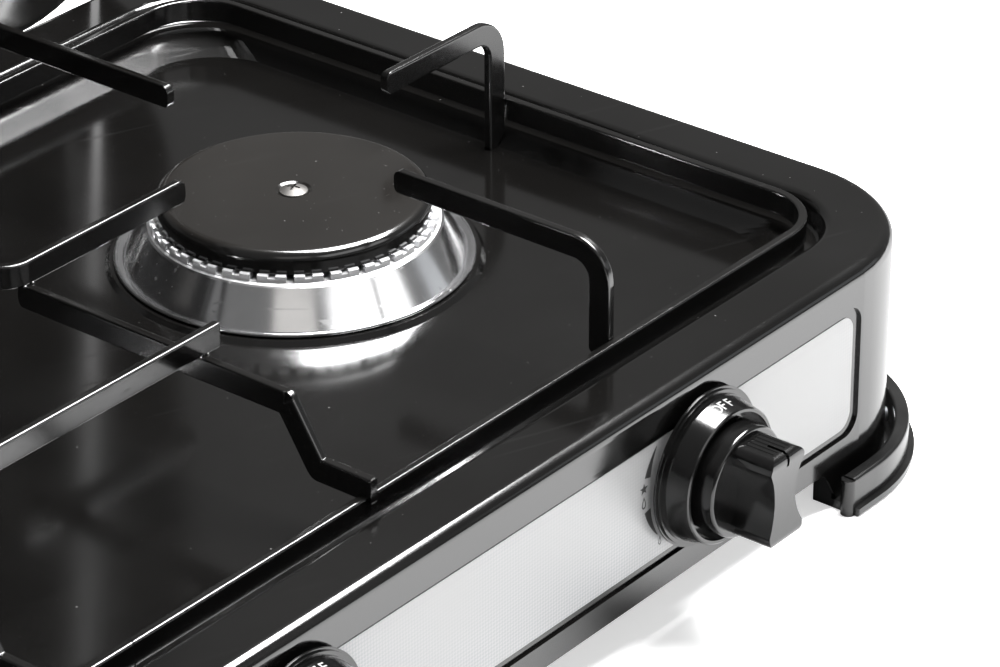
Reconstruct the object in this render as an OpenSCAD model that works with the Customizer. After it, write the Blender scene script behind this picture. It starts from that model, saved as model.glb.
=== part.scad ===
// Table-top gas stove with three burners, a lift-off pan support and a hinged lid.
// Millimetres, +Z up, front towards -Y. The origin lies on the table, under the
// centre of the whole stove as it stands with its lid open.

/* [Body] */
// Width of the body
body_w = 653.4; // [620:0.2:700]
// Depth of the body, without knobs and lid
body_d = 336.7; // [330:0.1:360]
// Height of the flat rim above the table
rim_z = 83.4; // [82:0.1:95]
// Plan radius of the outer corners
corner_r = 51; // [48:0.5:60]
// Sheet thickness of the body
sheet_t = 0.9; // [0.7:0.1:1.2]
// Rounding of the rim's outer edge
rim_round = 4.5; // [3:0.5:6]
// Height of the walls' lower edge above the table
wall_z = 15.1; // [10:0.1:20]

/* [Recess] */
// Width of the flat rim around the recess
rim_w = 22.7; // [22:0.1:24]
// Rounding of the rim's inner edge
rim_inner_round = 3; // [1.5:0.5:4]
// Depth of the ledge below the rim
ledge_drop = 8.9; // [8:0.1:10]
// Width of the ledge that runs round the recess
ledge_w = 5.8; // [4:0.1:7]
// Depth of the floor below the ledge
floor_drop = 5; // [4:0.1:6]
// Width of the ramp at both sides
ramp_x = 6.5; // [5:0.5:9]
// Width of the ramp at front and back
ramp_y = 11.5; // [8:0.5:14]
// Corner radius of the floor
floor_r = 28; // [20:1:34]

/* [Front panel] */
// Half width of the sunk panel behind the knobs
panel_half_w = 274.6; // [250:0.2:275]
// Height of the sunk panel's lower edge
panel_z0 = 24; // [22:0.5:26]
// Height of the sunk panel's upper edge
panel_z1 = 71; // [69:0.5:72]
// Corner radius of the sunk panel
panel_r = 7; // [3:0.5:10]
// Depth of the sunk panel
panel_sink = 1; // [0.6:0.1:1.5]

/* [Pan support] */
// Height of the bars that the support is bent from
bar_h = 8; // [6:0.5:9]
// Thickness of the bars
bar_t = 3; // [2.5:0.5:4]
// Rounding of the bars' edges
bar_edge = 0.7; // [0.3:0.1:1]
// Height of the pan rest above the table
pan_z = 118; // [114:0.5:122]
// Height of the frame's top above the rim
frame_rise = 2.7; // [1:0.1:4]
// Gap between the frame and the recess wall
frame_gap = 5.1; // [3:0.1:6]
// Inner radius of the bends
bend_r = 6; // [4:0.5:8]
// Distance from the middle to the front and rear fingers
finger_x = 183.6; // [178:0.2:190]
// Distance of the side fingers' line in front of the body's middle line
finger_fwd = 4.35; // [0:0.05:10]
// Distance from the side fingers' line to the tips of the front and rear fingers
finger_tip = 48; // [42:0.2:55]
// Distance from the line of the front fingers to the outer finger's tip
tip_out = 50.8; // [44:0.2:55]
// Distance from the line of the front fingers to the long finger's tip
tip_in = 47.2; // [42:0.2:55]
// Distance from the middle to the rear run of the cross bars
cross_x = 57.5; // [52:0.5:64]
// Step sideways from the rear run to the front run of the cross bars
cross_step = 8.7; // [6:0.1:12]
// Height of the low front end of the cross bars above the rim
cross_end_rise = 8.6; // [5:0.1:12]
// Distance from the body's middle line to the middle bars
mid_bar_y = 71.3; // [60:0.1:80]

/* [Burners] */
// Distance between neighbouring burners
burner_pitch = 188.1; // [182:0.1:192]
// Distance of the burners' axes in front of the body's middle line
burner_fwd = 4.75; // [0:0.05:10]
// Diameter of the two large burner caps
cap_d = 90; // [80:1:94]
// Diameter of the small burner cap in the middle
mid_cap_d = 38; // [34:1:60]
// Height of the cap's flat top above the rim
cap_rise = 10.4; // [9.5:0.1:11]
// Height of the cap's side
cap_side = 7.4; // [6.5:0.1:8]
// Number of teeth round a large burner
teeth = 50; // [40:2:60]
// Radial width of the flared skirt below the teeth
flare_w = 7.6; // [6:0.1:9]
// Outer diameter of the mixing tubes
mix_d = 20; // [18:0.5:22]
// Wall of the mixing tubes
mix_wall = 1.5; // [1:0.1:2]

/* [Knobs and taps] */
// Height of the knobs' axes
knob_z = 50.8; // [48:0.1:51]
// Diameter of the knobs' flange
flange_d = 52; // [48:0.2:54]
// Diameter of the knobs' skirt at its back edge
skirt_back_d = 47; // [45:0.2:48]
// Diameter of the knobs' skirt at its front edge
skirt_d = 43.8; // [42:0.2:45]
// Diameter of the knobs' hub
hub_d = 36.2; // [34:0.2:38]
// Length of the knobs from the back of the flange to the front of the grip
knob_len = 31.2; // [29:0.1:36]
// Width of the grip at its ends
grip_w = 16.8; // [14:0.2:18]
// Width of the grip at its waist
grip_waist = 10.6; // [9:0.2:13]
// Half height of the grip
grip_h = 15.6; // [14:0.2:17]
// Gap behind a knob that isn't pressed
knob_gap = 3.05; // [2.6:0.05:3.6]
// Travel of a knob when it is pressed in
push = 2; // [1:0.1:2]
// Diameter of the tap stems
stem_d = 8; // [6:0.5:8]
// Diameter of the tap bodies
tap_d = 18; // [17:0.5:20]
// Radial clearance of turning and sliding fits
fit = 0.05; // [0.03:0.01:0.08]

/* [Gas line] */
// Diameter of the gas rail
rail_d = 10; // [8:0.5:12]
// Diameter of the hose nozzle
nozzle_d = 8; // [8:0.5:10]
// Length of the hose nozzle
nozzle_len = 24; // [18:1:30]
// Distance from the middle to the inlet at the back
inlet_x = 262; // [240:1:266]

/* [Lid] */
// Depth of the lid
lid_h = 40.9; // [38:0.1:50]
// Distance of the closed lid's edge inside the body's outline
lid_inset = 4.7; // [4.5:0.1:6]
// Plan radius of the lid's corners
lid_r = 76; // [60:1:90]
// Sheet thickness of the lid
lid_t = 0.8; // [0.6:0.1:1]
// Rounding between the lid's side and its top
lid_round = 20; // [10:1:22]
// Width of the folded edge of the lid
hem_w = 2; // [1.6:0.1:2.6]
// Height of the hinge axis below the rim
hinge_drop = 10.4; // [9:0.1:11]
// Distance of the hinge axis inside the rear wall's outer face
hinge_in = 1.85; // [1.5:0.05:2]
// Diameter of the hinge pins
hinge_pin_d = 4; // [3:0.5:4]
// Distance from the middle to each hinge
hinge_x = 200; // [120:5:215]
// Width of the hinge straps
strap_w = 18; // [12:1:24]
// Gap between the closed lid and the rim
lid_gap = 0.2; // [0.1:0.1:0.5]

/* [Feet] */
// Height of the feet's outer band
foot_h = 13.5; // [10:0.5:14]
// Thickness of the feet's sole
sole_t = 3; // [2:0.5:4]
// Gap between the wall and the feet's outer band
foot_gap = 3; // [2:0.5:4]
// Thickness of the feet's outer band
foot_band = 5; // [4:0.5:7]
// Length of the straight part on both sides of the corner
foot_run = 12.7; // [8:0.1:18]

/* [Hidden] */
$fn = 64;

// heights and corner centres that several pieces share
half_w = body_w / 2;
half_d = body_d / 2;
core_x = half_w - corner_r;
core_y = half_d - corner_r;
recess_r = corner_r - rim_w;
ledge_z = rim_z - ledge_drop;
floor_z = ledge_z - floor_drop;
ledge_r = recess_r - ledge_w;
floor_hx = core_x + ledge_r - ramp_x;
floor_hy = core_y + ledge_r - ramp_y;
wall_in = half_d - sheet_t;
panel_y = half_d - panel_sink;
panel_back = panel_y - sheet_t;
seat = 0.1;

// burners
burner_y = -burner_fwd;
cap_top = rim_z + cap_rise;
cap_low = cap_top - cap_side;
tooth_top = cap_low + 0.5;
band_z = cap_low - 3;
pad_z = floor_z + 1.5;
fold_z = pad_z + 0.9;
cap_t = 1.2;
cup_wall = 1.6;
cup_top = band_z - 0.6;
cup_floor = 57;
post_r = 5;
dish_r = 6;
dish_deep = 1.5;
dish_z = cap_top - dish_deep;
// radius of the ball that the dish is cut with
dish_ball = (dish_r * dish_r + dish_deep * dish_deep) / (2 * dish_deep);
screw_r = 1.5;
screw_head_r = 4.6;
// underside of the screw's head, whose edge rests on the round of the dish
head_z = dish_z + dish_ball - sqrt(dish_ball * dish_ball - screw_head_r * screw_head_r) + 0.02;
mix_z = knob_z;

// taps and knobs
knob_back = half_d - panel_sink + knob_gap;
tap_front = panel_back - 1;
tap_len = 36;
tap_rear = tap_front - tap_len;
collar_r = 6.6;
collar_t = 2;
cover_t = 1.2;
collar_y = tap_front - cover_t - 1.3 - collar_t;
stem_r = stem_d / 2;
stem_front = knob_back + 20;
socket_deep = 20;
skirt_s = 10.2;
hub_s = 16.3;
jet_y = tap_rear - 8;
mix_front = -(jet_y - 6);
rail_r = rail_d / 2;
rail_z = knob_z - tap_d / 2 - rail_r - 3;
rail_y = -(tap_front - 20);
pipe_bend = 16;
rail_half = inlet_x - pipe_bend - 1.4;
clamp_screw_r = 1.2;
clamp_pitch = rail_r + 1.6 + 2.4 + 0.1;
clamp_half = clamp_pitch + 2.6;
clamp_w = 10;
inlet_y = half_d - 30;

// pan support
frame_r = recess_r - frame_gap;
frame_z = rim_z + frame_rise - bar_h;
frame_in_x = core_x + frame_r - bar_t;
frame_in_y = core_y + frame_r - bar_t;
run_z = pan_z - bar_h;
arm_y = -finger_fwd;
seam_x = -33.5;
tip_r = 2.6;

// lid, drawn closed about its hinge axis and turned open by 90 degrees
hinge_y = half_d - hinge_in;
hinge_z = rim_z - hinge_drop;
lid_z = rim_z + lid_gap;
lid_half_w = half_w - lid_inset;
lid_half_d = half_d - lid_inset;
lid_cx = lid_half_w - lid_r;
lid_cy = lid_half_d - lid_r;
strap_t = 1.5;
rivet_z = lid_z + 14.5;
knuckle_r = hinge_pin_d / 2 + fit + 1.55;
lid_open_y = hinge_y + lid_z - hinge_z;
lid_back = lid_open_y + lid_h;

// the whole stove is moved so that its box stands centred over the origin
front_y = knob_back + knob_len;
shift_y = (front_y - lid_back) / 2;

module place() { translate([0, shift_y, 0]) children(); }

// a 2-D profile (x = distance out from the corner centres) run round a rounded rectangle
module sweep(cx, cy) {
    for (a = [0, 180]) rotate(a) {
        translate([cx, cy, 0]) rotate([90, 0, 0]) linear_extrude(2 * cy) children();
        translate([-cx, cy, 0]) rotate([90, 0, 90]) linear_extrude(2 * cx) children();
        translate([cx, cy, 0]) rotate_extrude(angle = 90) children();
        translate([-cx, cy, 0]) rotate(90) rotate_extrude(angle = 90) children();
    }
}

// a quarter of a sheet bend; q = 0 is the quarter towards +x +y
module bend(ri, t, q) {
    rotate(90 * q) intersection() {
        difference() { circle(ri + t); circle(ri); }
        square(ri + t);
    }
}

module rounded(hx, hy, r) {
    square([2 * hx - 2 * r, 2 * hy], center = true);
    square([2 * hx, 2 * hy - 2 * r], center = true);
    for (x = [-1, 1], y = [-1, 1]) translate([x * (hx - r), y * (hy - r)]) circle(r);
}

module slab(hx, hy, r, h) { linear_extrude(h) rounded(hx, hy, r); }

module bar_section(w, h) { rounded(w / 2, h / 2, bar_edge); }

/* body */

module rim_profile() {
    t = sheet_t;
    foot = 2;
    translate([corner_r - t, sole_t]) square([t, rim_z - rim_round - sole_t]);
    translate([corner_r - rim_round, rim_z - rim_round]) bend(rim_round - t, t, 0);
    translate([recess_r + rim_inner_round, rim_z - t])
        square([rim_w - rim_inner_round - rim_round, t]);
    translate([recess_r + rim_inner_round, rim_z - rim_inner_round])
        bend(rim_inner_round - t, t, 1);
    translate([recess_r, ledge_z + foot]) square([t, ledge_drop - foot - rim_inner_round]);
    translate([recess_r - foot, ledge_z + foot]) bend(foot, t, 3);
    translate([ledge_r - 3, ledge_z - t]) square([ledge_w + 3 - foot, t]);
}

module basin(drop) {
    hull() {
        translate([0, 0, floor_z - drop]) slab(floor_hx, floor_hy, floor_r, 0.01);
        translate([0, 0, ledge_z - drop - 0.01])
            slab(core_x + ledge_r, core_y + ledge_r, ledge_r, 0.01);
    }
}

// the S-shaped end of the walls' lower edge, x = 0 where it leaves the straight
function s_curve(w) = [for (i = [0:10]) [w * i / 10, wall_z * (0.5 + 0.5 * cos(18 * i)) ]];

module wall_arch(half, w) {
    polygon(concat([for (p = s_curve(w)) [half + p[0], p[1]]], [[half + w, -1]],
        [[-half - w, -1]], [for (i = [10:-1:0]) [-half - s_curve(w)[i][0], s_curve(w)[i][1]]]));
}

module burner_at(i) { translate([i * burner_pitch, burner_y, 0]) children(); }

function cap_radius(i) = (i == 0 ? mid_cap_d : cap_d) / 2;

module panel_hole(r) {
    for (i = [-1:1]) translate([i * burner_pitch, -half_d - 5, knob_z])
        rotate([-90, 0, 0]) cylinder(r = r, h = 15);
}

module body_shell() {
    arch_w = 13;
    arch_front = core_x - foot_run - 8;
    arch_side = core_y - foot_run - 8;
    slot_z0 = hinge_z - knuckle_r - 0.3;
    slot_w = strap_w + 4.8;
    color([0.08, 0.08, 0.085]) place() difference() {
        union() {
            difference() {
                union() {
                    sweep(core_x, core_y) rim_profile();
                    basin(sheet_t);
                    // sheet behind the sunk front panel
                    translate([0, -panel_back, (panel_z0 + panel_z1) / 2]) rotate([90, 0, 0])
                        slab(panel_half_w + 2, (panel_z1 - panel_z0) / 2 + 2, panel_r + 2,
                            panel_sink + sheet_t - 0.3);
                }
                basin(0);
                // sunk front panel
                translate([0, -panel_y, (panel_z0 + panel_z1) / 2]) rotate([90, 0, 0])
                    slab(panel_half_w, (panel_z1 - panel_z0) / 2, panel_r, 10);
            }
            // raised seats of the burners
            for (i = [-1:1]) burner_at(i) translate([0, 0, floor_z - sheet_t / 2]) {
                h = pad_z - floor_z + sheet_t / 2;
                cylinder(r1 = cap_radius(i) + 15.4 + h, r2 = cap_radius(i) + 15.4, h = h);
            }
        }
        // burner openings
        for (i = [-1:1]) burner_at(i) {
            translate([0, 0, floor_z - 5]) cylinder(r = cap_radius(i) + 9.5, h = 10);
            translate([0, 0, floor_z - 5])
                cylinder(r = cap_radius(i) + 14.6, h = pad_z - sheet_t - floor_z + 5);
        }
        // arches between the feet
        rotate([90, 0, 0]) linear_extrude(body_d + 20, center = true)
            wall_arch(arch_front, arch_w);
        rotate([90, 0, 90]) linear_extrude(body_w + 20, center = true)
            wall_arch(arch_side, arch_w);
        // holes of the tap stems
        panel_hole(stem_r + 2);
        // slots of the hinge straps
        for (s = [-1, 1]) translate([s * hinge_x - slot_w / 2, half_d - 5, slot_z0])
            cube([slot_w, 10, 2 * knuckle_r + 1]);
        // hole of the gas inlet
        translate([inlet_x, half_d - 5, rail_z]) rotate([-90, 0, 0])
            cylinder(r = nozzle_d / 2 + 2.2, h = 10);
        // holes of the foot screws
        foot_holes() cylinder(r = 1.8, h = 12);
    }
}

module corners() {
    for (mx = [0, 1], my = [0, 1]) mirror([mx, 0, 0]) mirror([0, my, 0]) children();
}

// axis of each foot screw, from inside the foot's block outwards
module foot_holes() {
    corners() translate([core_x, core_y, sole_t + 5]) rotate(45)
        translate([corner_r - 6, 0, 0]) rotate([0, 90, 0]) children();
}

module foot_profile() {
    edge = 1.2;
    block_in = corner_r - sheet_t - 7.5;
    band_r = corner_r + foot_gap + foot_band;
    translate([block_in, 0]) square([band_r - block_in + 2 - edge, sole_t]);
    translate([band_r + 2 - edge, edge]) circle(edge);
    translate([band_r + 2 - edge, edge]) square([edge, sole_t - edge]);
    translate([block_in, sole_t]) square([7.3, foot_h - sole_t - 0.5]);
    translate([corner_r + foot_gap, sole_t]) square([foot_band, foot_h - sole_t - edge]);
    translate([corner_r + foot_gap + edge, sole_t])
        square([foot_band - 2 * edge, foot_h - sole_t]);
    for (x = [edge, foot_band - edge])
        translate([corner_r + foot_gap + x, foot_h - edge]) circle(edge);
}

module foot() {
    band_mid = corner_r + foot_gap + foot_band / 2;
    difference() {
        union() {
            rotate_extrude(angle = 90, $fn = 96) foot_profile();
            rotate([90, 0, 0]) linear_extrude(foot_run) foot_profile();
            rotate([90, 0, 90]) translate([0, 0, -foot_run]) linear_extrude(foot_run)
                foot_profile();
            // rounded ends of the outer band
            translate([band_mid, -foot_run, 0]) cylinder(r = foot_band / 2, h = foot_h - 0.6);
            translate([-foot_run, band_mid, 0]) cylinder(r = foot_band / 2, h = foot_h - 0.6);
        }
        // pocket of the foot screw
        translate([0, 0, sole_t + 5]) rotate(45) translate([corner_r - 10, 0, 0])
            rotate([0, 90, 0]) cylinder(r = 1.55, h = 12);
    }
}

module foot_at(mx, my) {
    color([0.1, 0.1, 0.1]) place() mirror([mx, 0, 0]) mirror([0, my, 0])
        translate([core_x, core_y, 0]) foot();
}

module foot_front_right() { foot_at(0, 1); }
module foot_front_left() { foot_at(1, 1); }
module foot_rear_right() { foot_at(0, 0); }
module foot_rear_left() { foot_at(1, 0); }

module foot_screws() {
    color("silver") place() corners() translate([core_x, core_y, sole_t + 5]) rotate(45)
        translate([corner_r, 0, 0]) rotate([0, 90, 0]) {
            translate([0, 0, -8]) cylinder(r = 1.5, h = 9);
            cylinder(r1 = 3, r2 = 2.2, h = 1.6);
        }
}

/* burners */

// outer radius of the flared skirt of burner i at height z
function flare_r(i, z) = cap_radius(i) + 3.5 + (band_z - z) * flare_w / (band_z - fold_z);

module burner_ring(i) {
    r = cap_radius(i) + 2;
    n = i == 0 ? 2 * round(teeth * mid_cap_d / cap_d / 2) : teeth;
    gap_w = 2 * PI * r / n * 0.42;
    fold_r = flare_r(i, fold_z);
    lip_r = fold_r + 2.2;
    difference() {
        union() {
            // toothed band
            rotate_extrude($fn = 128)
                polygon([[r - 3.4, band_z - 0.6], [r + 0.2, band_z - 0.6], [r + 1.5, band_z],
                    [r, band_z + 0.9], [r, tooth_top - 0.3], [r - 0.3, tooth_top],
                    [r - 1.3, tooth_top], [r - 1.6, cap_low - 0.05], [r - 3.4, cap_low - 0.05]]);
            // flared skirt with its turned-out lip
            rotate_extrude($fn = 128) polygon([[r - 0.4, band_z - 0.6], [r - 0.4, band_z],
                [r + 1.5, band_z], [fold_r, fold_z], [lip_r, fold_z + 0.4], [lip_r, fold_z - 0.4],
                [fold_r - 0.6, fold_z - 0.8], [fold_r - 1.3, fold_z - 0.3],
                [r + 0.2, band_z - 0.6]]);
            rotate_extrude($fn = 128) translate([lip_r, fold_z]) circle(0.7, $fn = 24);
        }
        for (k = [0:n - 1]) rotate((k + 0.5) * 360 / n)
            translate([r - 5, -gap_w / 2, cap_low - (k % 2 == 0 ? 1.8 : 0.6)])
            cube([8, gap_w, 10]);
    }
}

module ring_at(i) { color([0.85, 0.85, 0.86]) place() burner_at(i) burner_ring(i); }
module burner_ring_right() { ring_at(1); }
module burner_ring_middle() { ring_at(0); }
module burner_ring_left() { ring_at(-1); }

module burner_cap(i) {
    r = cap_radius(i);
    roll = 3.4;
    difference() {
        union() {
            rotate_extrude($fn = 128) difference() {
                union() {
                    square([r - roll, cap_side]);
                    square([r, cap_side - roll]);
                    translate([r - roll, cap_side - roll]) circle(roll);
                }
                // hollow underside
                translate([-1, -1]) square([r - cap_t + 1, cap_side - roll + 1]);
                translate([-1, -1]) square([r - roll + 1, cap_side - cap_t + 1]);
                intersection() {
                    translate([r - roll, cap_side - roll]) circle(roll - cap_t);
                    translate([r - roll, cap_side - roll]) square(roll);
                }
            }
            // boss under the dished middle
            translate([0, 0, cap_side - dish_deep - cap_t])
                cylinder(r = dish_r + cap_t, h = dish_deep + cap_t - 0.2);
        }
        // shallow dish for the screw
        translate([0, 0, cap_side - dish_deep + dish_ball]) sphere(r = dish_ball, $fn = 96);
        translate([0, 0, -1]) cylinder(r = screw_r + 0.2, h = 20);
    }
}

module cap_at(i) {
    color([0.1, 0.1, 0.1]) place() burner_at(i) translate([0, 0, cap_low]) burner_cap(i);
}
module burner_cap_right() { cap_at(1); }
module burner_cap_middle() { cap_at(0); }
module burner_cap_left() { cap_at(-1); }

// round-headed screws with a cross recess, seated in the dished middle of the caps
module cap_screws() {
    head_h = 1.8;
    dome_rise = 1.3;
    dome_ball = (screw_head_r * screw_head_r + dome_rise * dome_rise) / (2 * dome_rise);
    color([0.15, 0.15, 0.15]) place() for (i = [-1:1]) burner_at(i) {
        translate([0, 0, head_z]) difference() {
            intersection() {
                cylinder(r = screw_head_r, h = head_h);
                translate([0, 0, head_h - dome_ball]) sphere(r = dome_ball);
            }
            for (a = [0, 90]) rotate(a + 20) translate([-2.2, -0.45, 0.7]) cube([4.4, 0.9, 2]);
        }
        translate([0, 0, dish_z - 12]) cylinder(r = screw_r, h = head_z - dish_z + 12.01);
    }
}

// cast cup with its post and the mixing tube that leads to the tap
module burner_cup(i) {
    r = cap_radius(i) - 0.6;
    seat_r = flare_r(i, cup_top - 2.8) - 2.2;
    post_top = dish_z - cap_t;
    arm = -mix_front + burner_y;
    difference() {
        union() {
            // bowl
            rotate_extrude($fn = 96) polygon([[0, cup_floor], [r * 0.45, cup_floor],
                [r, cup_floor + 12], [r, cup_top], [r - cup_wall, cup_top],
                [r - cup_wall, cup_floor + 12.6], [r * 0.43, cup_floor + cup_wall],
                [0, cup_floor + cup_wall]]);
            // rim on which the ring sits
            translate([0, 0, cup_top - 4.2]) difference() {
                cylinder(r = seat_r, h = 1.4);
                translate([0, 0, -1]) cylinder(r = r - 0.5, h = 4);
            }
            translate([0, 0, cup_floor]) cylinder(r = post_r, h = post_top - cup_floor);
            // neck and mixing tube
            translate([0, 0, mix_z]) cylinder(r = mix_d / 2 + 1, h = cup_floor - mix_z + 1);
            translate([0, 0, mix_z]) sphere(r = mix_d / 2 + 1);
            translate([0, 0, mix_z]) rotate([90, 0, 0]) cylinder(r = mix_d / 2, h = arm);
            translate([0, -arm + 14, mix_z]) rotate([90, 0, 0])
                cylinder(r1 = mix_d / 2, r2 = mix_d / 2 + 3, h = 14);
        }
        // gas way
        translate([0, 0, mix_z]) rotate([90, 0, 0])
            cylinder(r = mix_d / 2 - mix_wall, h = arm + 1);
        translate([0, -arm + 14, mix_z]) rotate([90, 0, 0])
            cylinder(r1 = mix_d / 2 - mix_wall, r2 = mix_d / 2 + 3 - mix_wall, h = 14.02);
        difference() {
            translate([0, 0, mix_z]) cylinder(r = mix_d / 2 - mix_wall, h = 12);
            cylinder(r = post_r, h = cup_floor + 30);
        }
        translate([0, 0, post_top - 12]) cylinder(r = screw_r, h = 20);
        // air windows beside the jet
        translate([0, -arm + 12, mix_z]) cube([60, 11, 9], center = true);
    }
}

module cup_at(i) { color([0.7, 0.7, 0.72]) place() burner_at(i) burner_cup(i); }
module burner_cup_right() { cup_at(1); }
module burner_cup_middle() { cup_at(0); }
module burner_cup_left() { cup_at(-1); }

/* taps, gas line */

module tap_place(i) { translate([i * burner_pitch, 0, knob_z]) rotate([90, 0, 0]) children(); }

// tap body with its axis along z, front face at z = tap_front
module tap(i) {
    color([0.78, 0.62, 0.32]) place() difference() {
        union() {
            tap_place(i) translate([0, 0, tap_rear]) cylinder(r = tap_d / 2, h = tap_len);
            tap_place(i) translate([0, 0, jet_y]) cylinder(r = 5.5, h = tap_rear - jet_y + 1);
            // saddle on the gas rail, with ears for the clamp
            translate([i * burner_pitch - 7, rail_y - clamp_half, rail_z + 1.5])
                cube([14, 2 * clamp_half, knob_z - rail_z - 4]);
        }
        translate([i * burner_pitch, rail_y, rail_z]) rotate([0, 90, 0])
            cylinder(r = rail_r + 0.02, h = 40, center = true);
        // gas hole of the saddle
        translate([i * burner_pitch, rail_y, rail_z]) cylinder(r = 1.5, h = knob_z - rail_z);
        // bore of the stem and pocket of the collar
        tap_place(i) translate([0, 0, tap_rear + 8])
            cylinder(r = stem_r + fit, h = tap_len);
        tap_place(i) translate([0, 0, collar_y - push - 0.5])
            cylinder(r = collar_r + 0.3, h = tap_len);
        // way to the jet
        tap_place(i) translate([0, 0, tap_rear - 9]) cylinder(r = 1.5, h = 20);
        // screw holes of the clamp
        for (s = [-1, 1]) translate([i * burner_pitch, rail_y + s * clamp_pitch, rail_z])
            cylinder(r = clamp_screw_r, h = 8);
    }
}
module tap_right() { tap(1); }
module tap_middle() { tap(0); }
module tap_left() { tap(-1); }

// rings pressed into the front of the taps, which hold collars and stems in
module tap_covers() {
    color("silver") place() for (i = [-1:1]) tap_place(i)
        translate([0, 0, tap_front - cover_t]) difference() {
            cylinder(r = collar_r + 0.28, h = cover_t);
            translate([0, 0, -1]) cylinder(r = stem_r + 0.4, h = cover_t + 2);
        }
}

module tap_clamps() {
    color("silver") place() for (i = [-1:1]) translate([i * burner_pitch, rail_y, rail_z])
        difference() {
            rotate([90, 0, 90]) linear_extrude(clamp_w, center = true) difference() {
                union() {
                    circle(rail_r + 1.6);
                    translate([-clamp_half, 0]) square([2 * clamp_half, 1.4]);
                }
                circle(rail_r + 0.05);
                translate([-rail_r - 0.05, 0]) square([2 * rail_r + 0.1, 20]);
                translate([-30, 1.4]) square([60, 20]);
            }
            for (s = [-1, 1]) translate([0, s * clamp_pitch, -3])
                cylinder(r = clamp_screw_r, h = 9);
        }
}

module clamp_screws() {
    color("silver") place() for (i = [-1:1], s = [-1, 1])
        translate([i * burner_pitch, rail_y + s * clamp_pitch, rail_z]) {
            translate([0, 0, -1.6]) cylinder(r = 2.4, h = 1.6, $fn = 6);
            cylinder(r = clamp_screw_r, h = 6);
        }
}

module gas_rail() {
    color([0.6, 0.6, 0.62]) place() translate([0, rail_y, rail_z]) difference() {
        rotate([0, 90, 0]) cylinder(r = rail_r, h = 2 * rail_half, center = true);
        translate([-rail_half + 2, 0, 0]) rotate([0, 90, 0])
            cylinder(r = rail_r - 1, h = 2 * rail_half);
        for (i = [-1:1]) translate([i * burner_pitch, 0, 0]) cylinder(r = 1.5, h = 10);
    }
}

// strips welded behind the front panel that hold the rail
module rail_brackets() {
    t = 1.5;
    w = 14;
    color("silver") place() for (s = [-1, 1])
        translate([s * burner_pitch / 2, rail_y, rail_z]) rotate([90, 0, 90])
        linear_extrude(w, center = true) difference() {
            union() {
                circle(rail_r + 0.05 + t);
                translate([-panel_back - rail_y, rail_r + 0.05])
                    square([panel_back + rail_y, t]);
                translate([-panel_back - rail_y, rail_r + 0.05]) square([t, 16]);
            }
            circle(rail_r + 0.05);
            translate([-rail_r - 5, -rail_r - 5]) square([rail_r + 5, rail_r + 5.05]);
        }
}

module jets() {
    color([0.8, 0.64, 0.3]) place() for (i = [-1:1]) tap_place(i) difference() {
        union() {
            translate([0, 0, jet_y - 5]) cylinder(r = 4.6, h = 5, $fn = 6);
            translate([0, 0, jet_y - 9]) cylinder(r1 = 1.6, r2 = 3, h = 4);
        }
        translate([0, 0, jet_y - 10]) cylinder(r = 0.4, h = 12);
        translate([0, 0, jet_y - 6]) cylinder(r = 1.5, h = 8);
    }
}

// bent pipe from the rail's right end to the inlet at the back
module supply_pipe() {
    r = rail_r;
    br = pipe_bend;
    x0 = rail_half;
    x1 = inlet_x;
    y1 = inlet_y;
    color([0.6, 0.6, 0.62]) place() translate([0, 0, rail_z]) difference() {
        union() {
            translate([x0, rail_y, 0]) rotate([0, 90, 0]) cylinder(r = r, h = x1 - br - x0 + 0.01);
            translate([x1 - br, rail_y + br, 0]) rotate(-90) rotate_extrude(angle = 90)
                translate([br, 0]) circle(r);
            translate([x1, rail_y + br, 0]) rotate([-90, 0, 0])
                cylinder(r = r, h = y1 - rail_y - br);
        }
        translate([x1, rail_y + br, 0]) rotate([-90, 0, 0]) cylinder(r = r - 1, h = 400);
    }
}

// hose nozzle that passes through the rear wall
module inlet_nozzle() {
    r = nozzle_d / 2;
    y0 = inlet_y;
    color([0.8, 0.64, 0.3]) place() translate([inlet_x, 0, rail_z]) rotate([-90, 0, 0])
        difference() {
            union() {
                translate([0, 0, y0]) cylinder(r = 9, h = 12, $fn = 6);
                translate([0, 0, y0 + 12]) cylinder(r = r + 2, h = half_d - y0 - 12 + 7);
                translate([0, 0, half_d + 7]) cylinder(r = r, h = nozzle_len);
            }
            translate([0, 0, y0 - 1]) cylinder(r = r - 1.6, h = 100);
        }
}

module inlet_nut() {
    r = nozzle_d / 2 + 2;
    color([0.8, 0.64, 0.3]) place() translate([inlet_x, half_d, rail_z]) rotate([-90, 0, 0])
        difference() {
            cylinder(r = 10, h = 5, $fn = 6);
            translate([0, 0, -1]) cylinder(r = r + 0.03, h = 8);
        }
}

/* sliding collars, stems and knobs */

module collar(i) {
    color("silver") place() tap_place(i) translate([0, 0, collar_y]) difference() {
        cylinder(r = collar_r, h = collar_t);
        translate([0, 0, -1]) cylinder(r = stem_r + fit, h = collar_t + 2);
    }
}
module tap_collar_right() { collar(1); }
module tap_collar_middle() { collar(0); }
module tap_collar_left() { collar(-1); }

module stem(i) {
    rear = tap_rear + 8 + push + 0.5;
    color([0.78, 0.62, 0.32]) place() tap_place(i) difference() {
        union() {
            translate([0, 0, rear]) cylinder(r = stem_r, h = stem_front - rear);
            // shoulder in front of the collar
            translate([0, 0, collar_y + collar_t + 0.1]) cylinder(r = stem_r + 1, h = 1);
        }
        // flat for the knob
        translate([stem_r - 1.5, -10, knob_back + 2]) cube([10, 20, 40]);
    }
}
module tap_stem_right() { stem(1); }
module tap_stem_middle() { stem(0); }
module tap_stem_left() { stem(-1); }

// outline of the grip seen from the front: waisted, with rounded ends
module grip_outline() {
    waist_r = 21;
    difference() {
        rounded(grip_w / 2, grip_h, 4);
        for (s = [-1, 1]) translate([s * (grip_waist / 2 + waist_r), 0])
            circle(waist_r, $fn = 128);
    }
}

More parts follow.
